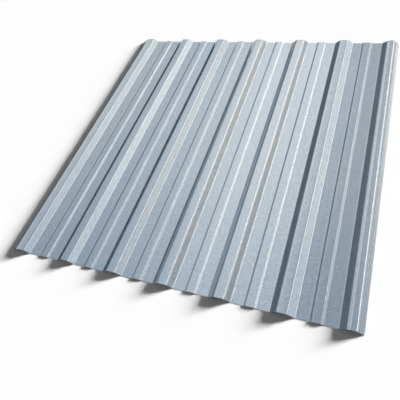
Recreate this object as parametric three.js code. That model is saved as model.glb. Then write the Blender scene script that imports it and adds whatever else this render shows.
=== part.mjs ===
// Trapezoidal ribbed steel sheet, roll-formed from one strip: seven ribs, six pans with a low
// stiffening swage along the middle of each, and a rib with a free leg at either side for lapping.
//
// Millimetres. X runs across the ribs, Y along them and Z up. The origin is at the middle of the
// sheet's footprint, on the plane that the undersides of the pans rest on.

import * as THREE from "three";

// ---- Driving dimensions ------------------------------------------------------------------------

const SHEET_LENGTH = 1000;
const SHEET_THICKNESS = 0.5;

const RIB_COUNT = 7;
const RIB_PITCH = 150;
const RIB_HEIGHT = 12; // from a pan's face to a rib's face

// Ribs between the two side laps. A flank's run is its width seen from above.
const RIB_TOP_WIDTH = 24;
const RIB_FLANK_RUN = 16.5;
const RIB_BEND_RADIUS = 4; // on the inside of each bend

// The overlap rib, on the left, is wider and stands further out, so that it closes over the
// underlap rib of the sheet beside it.
const OVERLAP_TOP_WIDTH = 28;
const OVERLAP_FLANK_RUN = 16.5;
const OVERLAP_SET_OUT = 7; // how far its middle lies outside the regular pitch

// The underlap rib, on the right, is narrower. Its inner flank is an easy slope with a soft shoulder.
const UNDERLAP_TOP_WIDTH = 17;
const UNDERLAP_INNER_RUN = 20;
const UNDERLAP_OUTER_RUN = 15;
const UNDERLAP_SHOULDER_RADIUS = 18;

// The capillary groove runs along the underlap rib's free leg, a little below its shoulder, and
// stops rain from creeping through the lap. Its widths are taken along the leg, and its depth
// square to it.
const GROOVE_SET_BACK = 3; // from the shoulder's corner
const GROOVE_FALL_RUN = 2.4;
const GROOVE_BOTTOM = 1;
const GROOVE_RISE_RUN = 0.9;
const GROOVE_DEPTH = 3;
const GROOVE_BEND_RADIUS = 0.5;

const SWAGE_HEIGHT = 3;
const SWAGE_TOP_WIDTH = 20.5;
const SWAGE_FLANK_RUN = 4.8;
const SWAGE_BEND_RADIUS = 3;

// ---- Resolution --------------------------------------------------------------------------------

const ARC_STEP = THREE.MathUtils.degToRad(5); // the turn between two points of a bend
const LONGEST_TANGENT = 0.48; // most of a straight that one bend's arc may take

// ---- Levels and stations, worked out from the dimensions ---------------------------------------

const PAN_LEVEL = SHEET_THICKNESS / 2; // of the strip's middle surface
const RIB_LEVEL = PAN_LEVEL + RIB_HEIGHT;
const SWAGE_LEVEL = PAN_LEVEL + SWAGE_HEIGHT;

const FIRST_RIB_X = -OVERLAP_SET_OUT;
const LAST_RIB_X = (RIB_COUNT - 1) * RIB_PITCH;

// ---- The section -------------------------------------------------------------------------------

/** A corner of the strip's middle line, with the inside radius it is bent to. */
function bend(x, z, radius) {
  return { point: new THREE.Vector2(x, z), radius };
}

/** The four corners of a raised form: foot, shoulder, shoulder, foot. */
function raisedForm({ x, level, topWidth, leftRun, rightRun, radius, leftShoulderRadius = radius }) {
  const leftShoulder = x - topWidth / 2;
  const rightShoulder = x + topWidth / 2;
  return [
    bend(leftShoulder - leftRun, PAN_LEVEL, radius),
    bend(leftShoulder, level, leftShoulderRadius),
    bend(rightShoulder, level, radius),
    bend(rightShoulder + rightRun, PAN_LEVEL, radius),
  ];
}

function overlapRib() {
  return raisedForm({
    x: FIRST_RIB_X,
    level: RIB_LEVEL,
    topWidth: OVERLAP_TOP_WIDTH,
    leftRun: OVERLAP_FLANK_RUN,
    rightRun: OVERLAP_FLANK_RUN,
    radius: RIB_BEND_RADIUS,
  });
}

function middleRib(index) {
  return raisedForm({
    x: index * RIB_PITCH,
    level: RIB_LEVEL,
    topWidth: RIB_TOP_WIDTH,
    leftRun: RIB_FLANK_RUN,
    rightRun: RIB_FLANK_RUN,
    radius: RIB_BEND_RADIUS,
  });
}

function underlapRib() {
  return raisedForm({
    x: LAST_RIB_X,
    level: RIB_LEVEL,
    topWidth: UNDERLAP_TOP_WIDTH,
    leftRun: UNDERLAP_INNER_RUN,
    rightRun: UNDERLAP_OUTER_RUN,
    radius: RIB_BEND_RADIUS,
    leftShoulderRadius: UNDERLAP_SHOULDER_RADIUS,
  });
}

/** The four corners of the capillary groove, on the leg that runs from a shoulder to a foot. */
function capillaryGroove(shoulder, foot) {
  const along = foot.point.clone().sub(shoulder.point).normalize();
  const outward = leftOf(along);
  const corner = (distance, depth) => {
    const { x, y } = shoulder.point
      .clone()
      .addScaledVector(along, GROOVE_SET_BACK + distance)
      .addScaledVector(outward, -depth);
    return bend(x, y, GROOVE_BEND_RADIUS);
  };
  return [
    corner(0, 0),
    corner(GROOVE_FALL_RUN, GROOVE_DEPTH),
    corner(GROOVE_FALL_RUN + GROOVE_BOTTOM, GROOVE_DEPTH),
    corner(GROOVE_FALL_RUN + GROOVE_BOTTOM + GROOVE_RISE_RUN, 0),
  ];
}

/** The swage in the pan to the right of the rib with this index. */
function swage(index) {
  return raisedForm({
    x: (index + 0.5) * RIB_PITCH,
    level: SWAGE_LEVEL,
    topWidth: SWAGE_TOP_WIDTH,
    leftRun: SWAGE_FLANK_RUN,
    rightRun: SWAGE_FLANK_RUN,
    radius: SWAGE_BEND_RADIUS,
  });
}

/** Every corner of the strip in order, from the left leg's free end to the right leg's. */
function stripCorners() {
  const corners = [...overlapRib()];
  for (let index = 1; index < RIB_COUNT - 1; index += 1) {
    corners.push(...swage(index - 1), ...middleRib(index));
  }
  const [innerFoot, innerShoulder, outerShoulder, outerFoot] = underlapRib();
  const groove = capillaryGroove(outerShoulder, outerFoot);
  corners.push(...swage(RIB_COUNT - 2), innerFoot, innerShoulder, outerShoulder);
  corners.push(...groove, outerFoot);
  return corners;
}

/** The unit vector a quarter turn to the left of a direction: upwards, on a level strip. */
function leftOf(direction) {
  return new THREE.Vector2(-direction.y, direction.x);
}

/**
 * Rounds one corner of the middle line. Returns points with their normals along the arc, which is
 * tangent to both straights, so that the strip keeps its thickness round the bend.
 */
function roundedCorner(before, corner, after) {
  const into = corner.point.clone().sub(before.point);
  const out = after.point.clone().sub(corner.point);
  const room = LONGEST_TANGENT * Math.min(into.length(), out.length());
  into.normalize();
  out.normalize();
  const turn = Math.atan2(into.cross(out), into.dot(out)); // positive to the left
  const halfTan = Math.tan(Math.abs(turn) / 2);
  const tangent = Math.min((corner.radius + SHEET_THICKNESS / 2) * halfTan, room);
  const radius = tangent / halfTan;
  const side = Math.sign(turn);
  const start = corner.point.clone().addScaledVector(into, -tangent);
  const centre = start.clone().addScaledVector(leftOf(into), side * radius);
  const steps = Math.max(2, Math.ceil(Math.abs(turn) / ARC_STEP));
  const samples = [];
  for (let step = 0; step <= steps; step += 1) {
    const angle = (turn * step) / steps;
    const normal = leftOf(into).rotateAround(new THREE.Vector2(), angle);
    samples.push({ point: centre.clone().addScaledVector(normal, -side * radius), normal });
  }
  return samples;
}

/** A free end of the strip, cut square to the leg that it ends. */
function freeEnd(corner, neighbour, direction) {
  const along = neighbour.point.clone().sub(corner.point).normalize().multiplyScalar(direction);
  return { point: corner.point.clone(), normal: leftOf(along) };
}

/** The middle line as points with normals, from one free end to the other. */
function middleLine() {
  const corners = stripCorners();
  const last = corners.length - 1;
  const samples = [freeEnd(corners[0], corners[1], 1)];
  for (let i = 1; i < last; i += 1) {
    samples.push(...roundedCorner(corners[i - 1], corners[i], corners[i + 1]));
  }
  samples.push(freeEnd(corners[last], corners[last - 1], -1));
  return samples;
}

/** The closed outline of the section: along the underside, and back along the top. */
function sectionShape() {
  const samples = middleLine();
  const offset = ({ point, normal }, distance) => point.clone().addScaledVector(normal, distance);
  const underside = samples.map((sample) => offset(sample, -SHEET_THICKNESS / 2));
  const top = samples.map((sample) => offset(sample, SHEET_THICKNESS / 2));
  return new THREE.Shape([...underside, ...top.reverse()]);
}

// ---- The sheet ---------------------------------------------------------------------------------

/** The section drawn out along the sheet's length, then centred on the origin. */
function sheetGeometry() {
  const geometry = new THREE.ExtrudeGeometry(sectionShape(), {
    depth: SHEET_LENGTH,
    steps: 1,
    bevelEnabled: false,
  });
  geometry.rotateX(Math.PI / 2);
  geometry.computeBoundingBox();
  const centre = geometry.boundingBox.getCenter(new THREE.Vector3());
  geometry.translate(-centre.x, -centre.y, 0);
  return geometry;
}

const coatedSteel = new THREE.MeshStandardMaterial({
  name: "coated_steel",
  color: 0x9fb0bd,
  roughness: 0.38,
  metalness: 0.9,
});

const sheet = new THREE.Mesh(sheetGeometry(), coatedSteel);
sheet.name = "corrugated_sheet";

const root = new THREE.Group();
root.add(sheet);

export default root;
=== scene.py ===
"""Ribbed steel sheet: the rolled surface in fine detail, its coating, and a plain studio round it.

Metres. X runs across the ribs, Y along them and Z up. The sheet lies flat, and the undersides of
its pans are on the plane Z = 0.
"""

from __future__ import annotations

import logging
import math
from collections.abc import Sequence
from dataclasses import dataclass, field
from enum import Enum

import bpy
import numpy as np
from mathutils import Matrix, Vector


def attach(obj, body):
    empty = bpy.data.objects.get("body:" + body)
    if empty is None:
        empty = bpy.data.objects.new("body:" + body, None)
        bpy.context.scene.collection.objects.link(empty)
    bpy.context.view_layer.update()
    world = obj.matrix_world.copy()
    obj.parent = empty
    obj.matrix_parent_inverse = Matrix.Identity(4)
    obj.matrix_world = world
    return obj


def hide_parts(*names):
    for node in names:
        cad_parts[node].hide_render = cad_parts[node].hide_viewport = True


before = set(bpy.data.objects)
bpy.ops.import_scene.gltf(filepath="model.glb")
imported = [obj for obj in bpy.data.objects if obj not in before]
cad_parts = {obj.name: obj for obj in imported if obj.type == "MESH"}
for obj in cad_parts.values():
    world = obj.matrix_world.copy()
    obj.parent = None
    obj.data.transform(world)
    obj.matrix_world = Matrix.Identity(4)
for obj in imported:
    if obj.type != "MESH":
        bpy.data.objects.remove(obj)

SHEET_NODE = "corrugated_sheet"
BODY = "root"
MM = 0.001

log = logging.getLogger("ribbed_sheet")

Colour = tuple[float, float, float]
Triple = tuple[float, float, float]  # x, y and z of a place, a direction or a scale


# ---- The section of the strip --------------------------------------------------------------------


@dataclass(frozen=True)
class RaisedForm:
    """A rib or a swage: four corners of the strip's middle line, in millimetres."""

    centre: float
    height: float
    top_width: float
    left_run: float
    right_run: float
    radius: float
    left_shoulder_radius: float | None = None

    def corners(self, base: float) -> list[tuple[float, float, float]]:
        """The foot, the two shoulders and the other foot.

        Args:
            base: height of the middle line in a pan.

        Returns:
            Rows of x, z and inside bend radius.
        """
        left = self.centre - self.top_width / 2
        right = self.centre + self.top_width / 2
        shoulder = self.left_shoulder_radius or self.radius
        return [
            (left - self.left_run, base, self.radius),
            (left, base + self.height, shoulder),
            (right, base + self.height, self.radius),
            (right + self.right_run, base, self.radius),
        ]


@dataclass(frozen=True)
class CapillaryGroove:
    """The fine groove rolled along the underlap leg, in millimetres."""

    set_back: float = 3.0
    fall_run: float = 2.4
    bottom: float = 1.0
    rise_run: float = 0.9
    depth: float = 3.0
    radius: float = 0.5

    def corners(self, shoulder: np.ndarray, foot: np.ndarray) -> np.ndarray:
        """The groove's four corners on the leg that runs from a shoulder to a foot.

        A corner is the shoulder, plus its distance along the leg, less its depth square to it.

        Args:
            shoulder: x and z where the leg begins.
            foot: x and z where it ends.

        Returns:
            Rows of x, z and inside bend radius.
        """
        along = (foot - shoulder) / np.linalg.norm(foot - shoulder)
        inward = np.array([along[1], -along[0]])
        distance = self.set_back + np.cumsum([0.0, self.fall_run, self.bottom, self.rise_run])
        sunk = np.array([0.0, self.depth, self.depth, 0.0])
        places = shoulder + distance[:, None] * along + sunk[:, None] * inward
        return np.column_stack([places, np.full(len(places), self.radius)])


@dataclass(frozen=True)
class SheetSizes:
    """The sheet's own sizes, in millimetres."""

    length: float = 1000.0
    thickness: float = 0.5
    rib_count: int = 7
    pitch: float = 150.0
    rib_height: float = 12.0
    rib_top: float = 24.0
    rib_run: float = 16.5
    rib_radius: float = 4.0
    overlap_top: float = 28.0
    overlap_run: float = 16.5
    overlap_set_out: float = 7.0
    underlap_top: float = 17.0
    underlap_inner_run: float = 20.0
    underlap_outer_run: float = 15.0
    underlap_shoulder_radius: float = 18.0
    swage_height: float = 3.0
    swage_top: float = 20.5
    swage_run: float = 4.8
    swage_radius: float = 1.5
    groove: CapillaryGroove = CapillaryGroove()

    def overlap_rib(self) -> RaisedForm:
        """The wide rib on the left, whose free leg laps over the next sheet."""
        run = self.overlap_run
        return RaisedForm(
            -self.overlap_set_out, self.rib_height, self.overlap_top, run, run, self.rib_radius
        )

    def middle_rib(self, index: int) -> RaisedForm:
        """The rib with this index, counted from the left."""
        run = self.rib_run
        return RaisedForm(
            index * self.pitch, self.rib_height, self.rib_top, run, run, self.rib_radius
        )

    def underlap_rib(self) -> RaisedForm:
        """The narrow rib on the right, which goes under the next sheet."""
        return RaisedForm(
            (self.rib_count - 1) * self.pitch,
            self.rib_height,
            self.underlap_top,
            self.underlap_inner_run,
            self.underlap_outer_run,
            self.rib_radius,
            self.underlap_shoulder_radius,
        )

    def swage(self, index: int) -> RaisedForm:
        """The low swage in the pan to the right of the rib with this index."""
        run = self.swage_run
        middle = (index + 0.5) * self.pitch
        return RaisedForm(
            middle, self.swage_height, self.swage_top, run, run, self.swage_radius
        )

    def forms(self) -> list[RaisedForm]:
        """Every rib and swage from left to right."""
        found = [self.overlap_rib()]
        for index in range(1, self.rib_count - 1):
            found += [self.swage(index - 1), self.middle_rib(index)]
        return [*found, self.swage(self.rib_count - 2), self.underlap_rib()]


@dataclass(frozen=True)
class StripSection:
    """The strip's middle line as points with normals, in metres, centred across the sheet."""

    sizes: SheetSizes = SheetSizes()
    arc_points: int = 8
    straight_points: int = 3
    longest_tangent: float = 0.48

    def corners(self) -> np.ndarray:
        """Rows of x, z and inside radius, from the left free end to the right one."""
        base = self.sizes.thickness / 2
        rows = np.array([corner for form in self.sizes.forms() for corner in form.corners(base)])
        groove = self.sizes.groove.corners(rows[-2, :2], rows[-1, :2])
        return np.concatenate([rows[:-1], groove, rows[-1:]])

    def stations(self) -> tuple[np.ndarray, np.ndarray]:
        """The points and normals along the middle line.

        Each inner corner becomes an arc tangent to both straights: with half turn h and radius r,
        the arc starts r tan(h) before the corner, and its centre lies r to the side that it turns
        to. The normal at share s of the arc is the first straight's normal turned by 2 h s. Points
        are then put at even shares of each straight.

        Returns:
            Two arrays of shape (n, 2), for x and z.
        """
        corners = self.corners()
        points, inside = corners[:, :2], corners[1:-1, 2]
        legs = np.diff(points, axis=0)
        lengths = np.linalg.norm(legs, axis=1)
        along = legs / lengths[:, None]
        into, out = along[:-1], along[1:]
        turn = np.arctan2(
            into[:, 0] * out[:, 1] - into[:, 1] * out[:, 0], (into * out).sum(axis=1)
        )
        side, half_tan = np.sign(turn), np.tan(np.abs(turn) / 2)
        room = self.longest_tangent * np.minimum(lengths[:-1], lengths[1:])
        tangent = np.minimum((inside + self.sizes.thickness / 2) * half_tan, room)
        radius = tangent / half_tan
        first_normal = self.left_of(into)
        start = points[1:-1] - into * tangent[:, None]
        centre = start + first_normal * (side * radius)[:, None]
        share = np.linspace(0.0, 1.0, self.arc_points)
        angle = turn[:, None] * share
        cos, sin = np.cos(angle), np.sin(angle)
        normal_x = first_normal[:, :1] * cos - first_normal[:, 1:] * sin
        normal_z = first_normal[:, :1] * sin + first_normal[:, 1:] * cos
        arc_normals = np.stack([normal_x, normal_z], axis=-1)
        arcs = centre[:, None] - arc_normals * (side * radius)[:, None, None]
        return self.with_straights(points, arcs, arc_normals, self.left_of(along))

    def with_straights(
        self, points: np.ndarray, arcs: np.ndarray, normals: np.ndarray, leg_normals: np.ndarray
    ) -> tuple[np.ndarray, np.ndarray]:
        """Joins the arcs by straights, and turns millimetres into metres.

        A point on a straight is the end of one arc plus an even share of the way to the start of
        the next.

        Args:
            points: the corners.
            arcs: the arcs' points, of shape (corners, arc points, 2).
            normals: their normals, of the same shape.
            leg_normals: each straight's normal.

        Returns:
            The points and normals of the whole middle line.
        """
        begin = np.concatenate([points[:1], arcs[:, -1]])
        end = np.concatenate([arcs[:, 0], points[-1:]])
        share = np.linspace(0.0, 1.0, self.straight_points + 2)[1:-1]
        inner = begin[:, None] + (end - begin)[:, None] * share[:, None]
        inner_normals = np.repeat(leg_normals[:, None], self.straight_points, axis=1)
        middle = np.concatenate([arcs, inner[1:]], axis=1).reshape(-1, 2)
        middle_normals = np.concatenate([normals, inner_normals[1:]], axis=1).reshape(-1, 2)
        line = np.concatenate([points[:1], inner[0], middle, points[-1:]])
        line_normals = np.concatenate(
            [leg_normals[:1], inner_normals[0], middle_normals, leg_normals[-1:]]
        )
        return self.centred(line) * MM, line_normals

    def centred(self, line: np.ndarray) -> np.ndarray:
        """The line moved so that the cut ends of the strip are as far to either side."""
        half = self.sizes.thickness / 2
        first, last = line[1] - line[0], line[-1] - line[-2]
        low = line[0, 0] - half * abs(first[1]) / np.hypot(*first)
        high = line[-1, 0] + half * abs(last[1]) / np.hypot(*last)
        return line - np.array([(low + high) / 2, 0.0])

    @staticmethod
    def left_of(direction: np.ndarray) -> np.ndarray:
        """Each direction turned a quarter to the left: upwards, on a level strip."""
        return np.stack([-direction[:, 1], direction[:, 0]], axis=-1)


# ---- Finishes ------------------------------------------------------------------------------------


class Face(Enum):
    """Which finish a face of the sheet wears. The value is its material slot."""

    TOP = 0
    BACK = 1
    CUT = 2


class NodeBoard:
    """Short calls that lay out a shader's nodes."""

    def __init__(self, tree: bpy.types.NodeTree) -> None:
        """Clears the tree."""
        self.tree = tree
        tree.nodes.clear()

    def add(self, kind: str, **settings: object) -> bpy.types.Node:
        """Adds one node.

        Args:
            kind: the node's type, without its ShaderNode prefix.
            **settings: its properties.

        Returns:
            The node.
        """
        node = self.tree.nodes.new("ShaderNode" + kind)
        for name, value in settings.items():
            setattr(node, name, value)
        return node

    def link(self, source: bpy.types.NodeSocket, target: bpy.types.NodeSocket) -> None:
        """Joins an output to an input."""
        self.tree.links.new(source, target)

    def ramp(
        self, value: bpy.types.NodeSocket, stops: list[tuple[float, Colour]]
    ) -> bpy.types.NodeSocket:
        """A colour that follows a value from 0 to 1.

        Args:
            value: the socket that drives it.
            stops: places and their colours, in order.

        Returns:
            The colour socket.
        """
        node = self.add("ValToRGB")
        elements = node.color_ramp.elements
        while len(elements) < len(stops):
            elements.new(1.0)
        for element, (place, colour) in zip(elements, stops):
            element.position = place
            element.color = (*colour, 1.0)
        self.link(value, node.inputs["Fac"])
        return node.outputs["Color"]

    def scaled(
        self, value: bpy.types.NodeSocket, from_range: tuple[float, float], to: tuple[float, float]
    ) -> bpy.types.NodeSocket:
        """The value moved from one range to another."""
        node = self.add("MapRange")
        node.inputs["From Min"].default_value, node.inputs["From Max"].default_value = from_range
        node.inputs["To Min"].default_value, node.inputs["To Max"].default_value = to
        self.link(value, node.inputs["Value"])
        return node.outputs["Result"]

    def math(
        self, operation: str, first: bpy.types.NodeSocket, second: bpy.types.NodeSocket | float
    ) -> bpy.types.NodeSocket:
        """One operation on two values."""
        node = self.add("Math", operation=operation)
        self.link(first, node.inputs[0])
        if isinstance(second, bpy.types.NodeSocket):
            self.link(second, node.inputs[1])
        else:
            node.inputs[1].default_value = second
        return node.outputs["Value"]

    def noise(
        self, place: bpy.types.NodeSocket, scale: Triple, detail: float
    ) -> bpy.types.NodeSocket:
        """Noise from 0 to 1.

        Args:
            place: the coordinates.
            scale: how many waves go in a metre along each axis.
            detail: octaves.

        Returns:
            The value socket.
        """
        mapping = self.add("Mapping")
        mapping.inputs["Scale"].default_value = scale
        self.link(place, mapping.inputs["Vector"])
        node = self.add("TexNoise")
        node.inputs["Scale"].default_value = 1.0
        node.inputs["Detail"].default_value = detail
        self.link(mapping.outputs["Vector"], node.inputs["Vector"])
        return node.outputs["Fac"]

    def cells(self, place: bpy.types.NodeSocket, scale: float) -> bpy.types.NodeSocket:
        """A value from 0 to 1 for each of many small cells, this many to a metre."""
        node = self.add("TexVoronoi")
        node.inputs["Scale"].default_value = scale
        self.link(place, node.inputs["Vector"])
        parts = self.add("SeparateColor")
        self.link(node.outputs["Color"], parts.inputs["Color"])
        return parts.outputs["Red"]

    def mix(
        self,
        first: bpy.types.NodeSocket | Colour,
        second: bpy.types.NodeSocket,
        blend_type: str = "MIX",
        factor: bpy.types.NodeSocket | None = None,
    ) -> bpy.types.NodeSocket:
        """Two colours put together.

        Args:
            first: the colour that shows at factor 0.
            second: the colour that shows, or is applied to the first, at factor 1.
            blend_type: how the second is applied.
            factor: the socket that picks between them. Without one the second is fully applied.

        Returns:
            The colour socket.
        """
        node = self.add("Mix", data_type="RGBA", blend_type=blend_type)
        if factor is None:
            node.inputs["Factor"].default_value = 1.0
        else:
            self.link(factor, node.inputs["Factor"])
        if isinstance(first, bpy.types.NodeSocket):
            self.link(first, node.inputs["A"])
        else:
            node.inputs["A"].default_value = (*first, 1.0)
        self.link(second, node.inputs["B"])
        return node.outputs["Result"]

    def surface(self, shader: bpy.types.Node) -> None:
        """Makes a shader the material's surface."""
        output = self.add("OutputMaterial")
        self.link(shader.outputs[0], output.inputs["Surface"])


def new_material(name: str) -> tuple[bpy.types.Material, NodeBoard]:
    """An empty node material with the board that lays it out."""
    made = bpy.data.materials.new(name)
    made.use_nodes = True
    return made, NodeBoard(made.node_tree)


@dataclass(frozen=True)
class MetalFinish:
    """A face of the steel, with the grain that the mill and the coating leave on it.

    Spangle, grain, roll lines and cloud are scales, in cells or waves to a metre.
    """

    name: str
    dark: Colour
    light: Colour
    roughness: tuple[float, float]
    grain_depth: float
    edge_tint: Colour = (0.5, 0.5, 0.5)
    spangle: float = 1050.0
    grain: Triple = (700.0, 700.0, 700.0)
    roll_lines: Triple = (260.0, 5.0, 260.0)
    cloud: Triple = (9.0, 3.5, 9.0)
    lines_in_relief: float = 0.10
    cloud_in_tone: float = 0.12
    relief_in_tone: float = 0.25
    spangle_in_tone: float = 0.66
    colour_range: tuple[float, float] = (0.16, 0.90)
    roughness_range: tuple[float, float] = (0.15, 0.90)

    def material(self) -> bpy.types.Material:
        """The finish as a material on object coordinates.

        Relief is fine grain with some of the long roll lines, and raises the bump. Tone is a sum of
        broad clouds, relief and spangle, and picks the colour between dark and light, and the
        roughness.
        """
        made, board = new_material(self.name)
        place = board.add("TexCoord").outputs["Object"]
        grain = board.noise(place, self.grain, detail=2.0)
        lines = board.noise(place, self.roll_lines, detail=3.0)
        cloud = board.noise(place, self.cloud, detail=3.0)
        spangle = board.cells(place, self.spangle)
        relief = board.math("ADD", board.math("MULTIPLY", lines, self.lines_in_relief), grain)
        tone = board.math(
            "ADD",
            board.math("MULTIPLY", cloud, self.cloud_in_tone),
            board.math("MULTIPLY", relief, self.relief_in_tone),
        )
        tone = board.math("ADD", tone, board.math("MULTIPLY", spangle, self.spangle_in_tone))
        share = board.scaled(tone, self.colour_range, (0.0, 1.0))
        metal = board.add("BsdfPrincipled")
        metal.inputs["Metallic"].default_value = 1.0
        metal.inputs["Specular Tint"].default_value = (*self.edge_tint, 1.0)
        colour = board.ramp(share, [(0.0, self.dark), (1.0, self.light)])
        board.link(colour, metal.inputs["Base Color"])
        roughness = board.scaled(tone, self.roughness_range, self.roughness)
        board.link(roughness, metal.inputs["Roughness"])
        bump = board.add("Bump")
        bump.inputs["Strength"].default_value = 1.0
        bump.inputs["Distance"].default_value = self.grain_depth
        board.link(relief, bump.inputs["Height"])
        board.link(bump.outputs["Normal"], metal.inputs["Normal"])
        board.surface(metal)
        return made


FINISHES: dict[Face, MetalFinish] = {
    Face.TOP: MetalFinish(
        "coated_top_face", (0.475, 0.525, 0.57), (0.775, 0.855, 0.93), (0.14, 0.16), 0.15e-6
    ),
    Face.BACK: MetalFinish(
        "backing_coat", (0.50, 0.53, 0.56), (0.57, 0.60, 0.63), (0.36, 0.44), 4e-6
    ),
    Face.CUT: MetalFinish(
        "sheared_edge", (0.42, 0.43, 0.45), (0.52, 0.53, 0.55), (0.34, 0.46), 1e-5
    ),
}


# ---- The sheet -----------------------------------------------------------------------------------


@dataclass(frozen=True)
class PanWave:
    """A slow wave along the pans. The shift is its phase from one pan to the next."""

    length: float
    pan_shift: float
    start: float
    share: float

    def at(self, along: np.ndarray, pan: np.ndarray) -> np.ndarray:
        """The wave, times its share, at each place along each pan."""
        phase = 2 * np.pi * along / self.length + self.pan_shift * pan + self.start
        return self.share * np.sin(phase)


@dataclass
class RolledSheet:
    """The finished sheet: the strip's section carried along its length, with slow bulges."""

    section: StripSection = field(default_factory=StripSection)
    length_steps: int = 64
    highest_bulge: float = 0.12 * MM
    slow_wave: PanWave = PanWave(length=0.37, pan_shift=1.9, start=0.0, share=0.65)
    quick_wave: PanWave = PanWave(length=0.21, pan_shift=3.1, start=0.6, share=0.35)
    smooth_angle: float = 40.0
    name: str = "finished_sheet"

    def waves(self, across: np.ndarray, along: np.ndarray) -> np.ndarray:
        """How far the sheet bulges up at each place.

        A pan's bulge is a squared sine across it, from nothing at one rib to nothing at the next,
        times a slow wave along it that never goes below nothing and differs from pan to pan.

        Args:
            across: x of the middle line, of shape (n,).
            along: y of the stations, of shape (m,).

        Returns:
            Lifts of shape (m, n).
        """
        sizes = self.section.sizes
        first = across[0] + (sizes.overlap_run + sizes.overlap_top / 2) * MM
        first += sizes.overlap_set_out * MM
        phase = (across - first) / (sizes.pitch * MM)
        bulge = np.sin(np.pi * np.clip(phase, 0.0, sizes.rib_count - 1.0)) ** 2
        pan = np.floor(phase)
        slow = self.slow_wave.at(along[:, None], pan)
        quick = self.quick_wave.at(along[:, None], pan)
        return self.highest_bulge * bulge * (1.0 + slow + quick) / 2

    def grid(self) -> np.ndarray:
        """Every vertex: for each station along Y, the top points and then the underside's.

        Returns:
            An array of shape (stations, 2 n, 3).
        """
        line, normals = self.section.stations()
        half = self.section.sizes.thickness * MM / 2
        ring = np.concatenate([line + normals * half, (line - normals * half)[::-1]])
        middle_x = np.concatenate([line[:, 0], line[::-1, 0]])
        reach = self.section.sizes.length * MM / 2
        along = np.linspace(-reach, reach, self.length_steps + 1)
        lift = self.waves(middle_x, along)
        x = np.broadcast_to(ring[:, 0], lift.shape)
        y = np.broadcast_to(along[:, None], lift.shape)
        return np.stack([x, y, ring[:, 1] + lift], axis=-1)

    def faces(self, stations: int, ring: int) -> tuple[np.ndarray, np.ndarray]:
        """The quads of the tube and of its two cut ends, with each one's finish.

        Args:
            stations: rows of vertices along Y.
            ring: vertices round the section.

        Returns:
            Vertex indices of shape (quads, 4), and material slots of shape (quads,).
        """
        place = np.arange(ring)
        after = (place + 1) % ring
        rows = np.arange(stations - 1)[:, None] * ring
        wall = np.stack(
            [rows + place, rows + after, rows + ring + after, rows + ring + place], axis=-1
        )
        side = np.where(place < ring // 2 - 1, Face.TOP.value, Face.BACK.value)
        side[[ring // 2 - 1, ring - 1]] = Face.CUT.value
        step = np.arange(ring // 2 - 1)
        mirror = ring - 1 - step
        near = np.stack([step, mirror, mirror - 1, step + 1], axis=-1)
        far = near[:, ::-1] + (stations - 1) * ring
        quads = np.concatenate([wall.reshape(-1, 4), near, far])
        slots = np.concatenate(
            [np.tile(side, stations - 1), np.full(2 * len(step), Face.CUT.value)]
        )
        return quads, slots

    def build(self) -> bpy.types.Object:
        """Puts the surface into a mesh with its finishes, smooth along the faces."""
        grid = self.grid()
        stations, ring = grid.shape[:2]
        quads, slots = self.faces(stations, ring)
        mesh = bpy.data.meshes.new(self.name)
        mesh.vertices.add(stations * ring)
        mesh.vertices.foreach_set("co", grid.astype(np.float32).ravel())
        mesh.loops.add(quads.size)
        mesh.loops.foreach_set("vertex_index", quads.astype(np.int32).ravel())
        mesh.polygons.add(len(quads))
        mesh.polygons.foreach_set("loop_start", np.arange(0, quads.size, 4, dtype=np.int32))
        mesh.polygons.foreach_set("material_index", slots.astype(np.int32))
        for face in Face:
            mesh.materials.append(FINISHES[face].material())
        mesh.update(calc_edges=True)
        mesh.validate()
        mesh.shade_smooth()
        mesh.set_sharp_from_angle(angle=math.radians(self.smooth_angle))
        made = bpy.data.objects.new(self.name, mesh)
        bpy.context.scene.collection.objects.link(made)
        return made

    def mount(self, made: bpy.types.Object) -> None:
        """Puts the finished sheet in the place of the plain one."""
        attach(made, BODY)
        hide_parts(SHEET_NODE)


# ---- The studio ----------------------------------------------------------------------------------


def stage_mesh(
    name: str,
    points: Sequence[Sequence[float]],
    faces: Sequence[Sequence[int]],
    paint: bpy.types.Material,
    hidden_from: Sequence[str] = (),
) -> None:
    """Adds a plain mesh that stands round the part and isn't in it.

    Args:
        name: of the mesh and its object.
        points: x, y and z of each vertex.
        faces: each face's vertices.
        paint: the one material.
        hidden_from: the kinds of rays that pass through it.
    """
    mesh = bpy.data.meshes.new(name)
    mesh.from_pydata(points, [], faces)
    mesh.materials.append(paint)
    made = bpy.data.objects.new(name, mesh)
    for rays in hidden_from:
        setattr(made, "visible_" + rays, False)
    bpy.context.scene.collection.objects.link(made)


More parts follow.
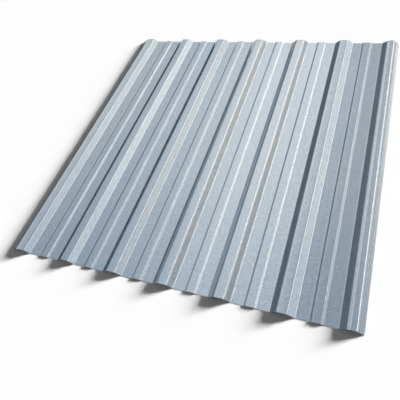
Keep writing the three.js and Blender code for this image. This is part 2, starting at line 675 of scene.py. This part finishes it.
@dataclass(frozen=True)
class SoftSky:
    """Soft light from long ceiling panels that run along Y, over a pale horizon.

    The panels give the level seen at each angle from straight up, in degrees towards +X, and reach
    the colour that it is multiplied by at each share of Y in the direction. Towards -Y the panels
    are calm: no brighter than calm_level, which comes in over calm_band.
    """

    left_panels: tuple[tuple[float, float], ...] = (
        (-54.0, 0.5),
        (-51.0, 0.55),
        (-48.8, 1.16),
        (-46.4, 1.16),
        (-42.6, 0.42),
        (-41.0, 0.56),
        (-38.6, 0.68),
        (-36.2, 0.6),
        (-33.6, 0.65),
        (-32.1, 0.87),
        (-29.9, 0.65),
        (-28.5, 0.7),
        (-27.0, 0.67),
        (-24.8, 0.89),
        (-23.0, 0.9),
        (-9.6, 0.9),
        (-7.3, 0.69),
        (-5.0, 0.56),
        (-2.0, 0.50),
        (0.0, 0.47),
    )
    right_panels: tuple[tuple[float, float], ...] = (
        (0.0, 0.47),
        (2.0, 0.42),
        (7.0, 0.5),
        (10.0, 2.8),
        (12.0, 4.6),
        (16.0, 4.6),
        (19.0, 1.3),
        (22.0, 0.76),
        (27.0, 0.82),
        (31.5, 1.08),
        (34.8, 0.98),
        (36.3, 1.25),
        (38.0, 0.84),
        (40.8, 0.24),
        (43.0, 2.0),
        (45.0, 2.0),
        (46.2, 0.19),
        (50.3, 0.19),
        (51.6, 2.15),
        (54.0, 2.15),
        (55.0, 0.19),
        (58.4, 0.19),
        (61.0, 0.9),
        (66.0, 0.99),
        (71.0, 0.8),
        (76.0, 0.45),
        (84.0, 0.45),
    )
    reach: tuple[tuple[float, Colour], ...] = (
        (-0.75, (1.05, 1.05, 1.05)),
        (-0.30, (0.85, 0.86, 0.87)),
        (-0.02, (0.58, 0.60, 0.62)),
        (0.10, (0.62, 0.64, 0.66)),
        (0.32, (0.75, 0.78, 0.79)),
        (0.62, (1.03, 1.00, 0.95)),
        (0.80, (1.13, 1.095, 1.05)),
    )
    cool: Colour = (0.90, 1.00, 1.12)
    warm: Colour = (1.08, 0.98, 0.87)
    cool_top: float = 0.6
    horizon: Colour = (2.0, 1.8, 1.6)
    horizon_band: tuple[float, float] = (0.06, 0.14)
    calm_level: float = 1.3
    calm_band: tuple[float, float] = (0.1, 0.28)
    brightest: float = 5.0

    def tinted(self, level: float) -> Colour:
        """A level as a colour for the ramp: cool up to a low level, and warm in what is above."""
        low = min(level, self.cool_top)
        parts = [low * cool + (level - low) * warm for cool, warm in zip(self.cool, self.warm)]
        return tuple(part / self.brightest for part in parts)

    def build(self) -> None:
        """Lays out the world: panels by the direction's angle in XZ, calmed and times reach by its
        Y, and below a low height the plain horizon.

        Colours are divided by the brightest level, so that they stay within a ramp's 0 to 1. There
        are two such factors in the product, and the strength puts both back.
        """
        world = bpy.data.worlds.new("soft_sky")
        world.use_nodes = True
        bpy.context.scene.world = world
        world.cycles_visibility.diffuse = False
        board = NodeBoard(world.node_tree)
        direction = board.add("SeparateXYZ")
        board.link(board.add("TexCoord").outputs["Generated"], direction.inputs["Vector"])
        x, y, z = (direction.outputs[axis] for axis in "XYZ")
        angle = board.scaled(
            board.math("ARCTAN2", x, z), (-math.pi / 2, math.pi / 2), (0.0, 1.0)
        )
        sides = [
            board.ramp(
                angle, [(degrees / 180.0 + 0.5, self.tinted(level)) for degrees, level in stops]
            )
            for stops in (self.left_panels, self.right_panels)
        ]
        panels = board.mix(*sides, factor=board.math("GREATER_THAN", x, 0.0))
        most = board.scaled(y, self.calm_band, (self.calm_level / self.brightest, 1.0))
        reach = [
            (share / 2 + 0.5, tuple(part / self.brightest for part in colour))
            for share, colour in self.reach
        ]
        lit = board.mix(
            board.mix(panels, most, "DARKEN"),
            board.ramp(board.scaled(y, (-1.0, 1.0), (0.0, 1.0)), reach),
            "MULTIPLY",
        )
        horizon = tuple(part / self.brightest**2 for part in self.horizon)
        sky = board.mix(horizon, lit, factor=board.scaled(z, self.horizon_band, (0.0, 1.0)))
        light = board.add("Background")
        light.inputs["Strength"].default_value = self.brightest**2
        board.link(sky, light.inputs["Color"])
        output = board.add("OutputWorld")
        board.link(light.outputs["Background"], output.inputs["Surface"])


@dataclass(frozen=True)
class Floor:
    """A wide plain floor, nearly white."""

    size: float = 60.0
    sunk: float = 0.02 * MM
    colour: Colour = (0.92, 0.92, 0.92)

    def build(self) -> None:
        """Lays the floor just under the sheet."""
        half, level = self.size / 2, -self.sunk
        corners = [
            (-half, -half, level),
            (half, -half, level),
            (half, half, level),
            (-half, half, level),
        ]
        paint, board = new_material("floor_paint")
        matt = board.add("BsdfDiffuse")
        matt.inputs["Color"].default_value = (*self.colour, 1.0)
        board.surface(matt)
        stage_mesh("floor", corners, [(0, 1, 2, 3)], paint)


@dataclass(frozen=True)
class Backdrop:
    """A pale round wall far behind everything. Only the camera sees it, over the floor's edge."""

    radius: float = 28.0
    height: float = 20.0
    sunk: float = 0.1
    sides: int = 96
    colour: Colour = (0.985, 0.985, 0.985)

    def build(self) -> None:
        """Stands the wall: two rings of points, the lower just under the floor, joined by quads."""
        turn = np.linspace(0.0, 2 * np.pi, self.sides, endpoint=False)
        ring = np.stack([np.cos(turn) * self.radius, np.sin(turn) * self.radius], axis=-1)
        levels = np.repeat((-self.sunk, self.height), self.sides)[:, None]
        points = np.concatenate([np.tile(ring, (2, 1)), levels], axis=-1)
        here = np.arange(self.sides)
        after = (here + 1) % self.sides
        quads = np.stack([after, here, here + self.sides, after + self.sides], axis=-1)
        paint, board = new_material("backdrop_paint")
        glow = board.add("Emission")
        glow.inputs["Color"].default_value = (*self.colour, 1.0)
        board.surface(glow)
        unseen = ("diffuse", "glossy", "shadow")
        stage_mesh("backdrop", points.tolist(), quads.tolist(), paint, unseen)


@dataclass(frozen=True)
class BlackFlag:
    """A dark card beside the sheet, which the flanks on that side mirror. Only gloss sees it.

    The bands give how light the card is at each height, as a multiple of its colour.
    """

    left: float = -6.0
    near: float = -4.0
    far: float = 16.0
    top: float = 4.2
    colour: Colour = (0.033, 0.0378, 0.0435)
    bands: tuple[tuple[float, float], ...] = (
        (0.3, 1.0),
        (0.55, 1.3),
        (0.8, 0.55),
        (1.15, 0.6),
        (1.55, 2.5),
        (2.3, 2.7),
        (2.8, 1.0),
        (3.6, 0.85),
        (4.2, 1.1),
    )

    def build(self) -> None:
        """Stands the card along Y and hides it from all but glossy rays."""
        corners = [
            (self.left, self.near, 0.0),
            (self.left, self.far, 0.0),
            (self.left, self.far, self.top),
            (self.left, self.near, self.top),
        ]
        cloth, board = new_material("black_cloth")
        matt = board.add("BsdfDiffuse")
        place = board.add("SeparateXYZ")
        board.link(board.add("TexCoord").outputs["Object"], place.inputs["Vector"])
        share = board.scaled(place.outputs["Z"], (0.0, self.top), (0.0, 1.0))
        bands = [
            (height / self.top, tuple(level * part for part in self.colour))
            for height, level in self.bands
        ]
        board.link(board.ramp(share, bands), matt.inputs["Color"])
        board.surface(matt)
        unseen = ("camera", "diffuse", "shadow")
        stage_mesh("black_flag", corners, [(0, 1, 2, 3)], cloth, unseen)


@dataclass(frozen=True)
class KeyLamp:
    """A broad low light from the far right, which gives the sheet its shadow on the floor."""

    towards: Triple = (-0.75, -0.62, -0.20)
    spread: float = 14.0
    strength: float = 14.5
    colour: Colour = (1.0, 1.0, 1.0)

    def build(self) -> None:
        """Points the light and hides it from gloss, where the sky's own panels show."""
        lamp = bpy.data.lights.new("key", "SUN")
        lamp.angle = math.radians(self.spread)
        lamp.energy = self.strength
        lamp.color = self.colour
        made = bpy.data.objects.new("key", lamp)
        made.rotation_mode = "QUATERNION"
        made.rotation_quaternion = Vector(self.towards).to_track_quat("-Z", "Y")
        made.visible_glossy = False
        bpy.context.scene.collection.objects.link(made)


@dataclass(frozen=True)
class FillLamp:
    """An even light from the whole sky above, which softens the shadow."""

    spread: float = 180.0
    strength: float = 0.45

    def build(self) -> None:
        """Points the light straight down and hides it from gloss."""
        lamp = bpy.data.lights.new("fill", "SUN")
        lamp.angle = math.radians(self.spread)
        lamp.energy = self.strength
        made = bpy.data.objects.new("fill", lamp)
        made.visible_glossy = False
        bpy.context.scene.collection.objects.link(made)


@dataclass(frozen=True)
class Camera:
    """The camera, which looks down on the sheet from the near right with a roll."""

    place: Triple = (0.42255, -0.80989, 0.90798)
    aim: Triple = (0.01575, -0.23068, 0.0)
    roll: float = 20.12
    lens: float = 36.64
    sensor: float = 36.0
    nearest: float = 0.01
    farthest: float = 100.0

    def build(self) -> None:
        """Makes the camera: level first, and then rolled about its own axis."""
        data = bpy.data.cameras.new("camera")
        data.sensor_width = self.sensor
        data.lens = self.lens
        data.clip_start, data.clip_end = self.nearest, self.farthest
        made = bpy.data.objects.new("camera", data)
        back = (Vector(self.place) - Vector(self.aim)).normalized()
        right = Vector((0.0, 0.0, 1.0)).cross(back).normalized()
        level = Matrix((right, back.cross(right), back)).transposed()
        turned = level @ Matrix.Rotation(-math.radians(self.roll), 3, "Z")
        made.matrix_world = Matrix.Translation(self.place) @ turned.to_4x4()
        bpy.context.scene.collection.objects.link(made)
        bpy.context.scene.camera = made


@dataclass
class Studio:
    """Everything round the sheet."""

    sky: SoftSky = field(default_factory=SoftSky)
    floor: Floor = field(default_factory=Floor)
    backdrop: Backdrop = field(default_factory=Backdrop)
    flag: BlackFlag = field(default_factory=BlackFlag)
    key: KeyLamp = field(default_factory=KeyLamp)
    fill: FillLamp = field(default_factory=FillLamp)
    camera: Camera = field(default_factory=Camera)

    def build(self) -> None:
        """Builds the light, the floor and the camera, and sets the plain view transform."""
        stage = (self.sky, self.floor, self.backdrop, self.flag, self.key, self.fill, self.camera)
        for item in stage:
            item.build()
        bpy.context.scene.view_settings.view_transform = "Standard"


# ---- The whole -----------------------------------------------------------------------------------


def main() -> None:
    """Builds the sheet and the studio."""
    logging.basicConfig(level=logging.INFO, format="%(name)s: %(message)s")
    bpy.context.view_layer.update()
    sheet = RolledSheet()
    made = sheet.build()
    sheet.mount(made)
    log.info("%s: %d faces", made.name, len(made.data.polygons))
    Studio().build()
    log.info("studio: sky, floor, backdrop, flag, key lamp, fill lamp and camera")


if __name__ == "__main__":
    main()
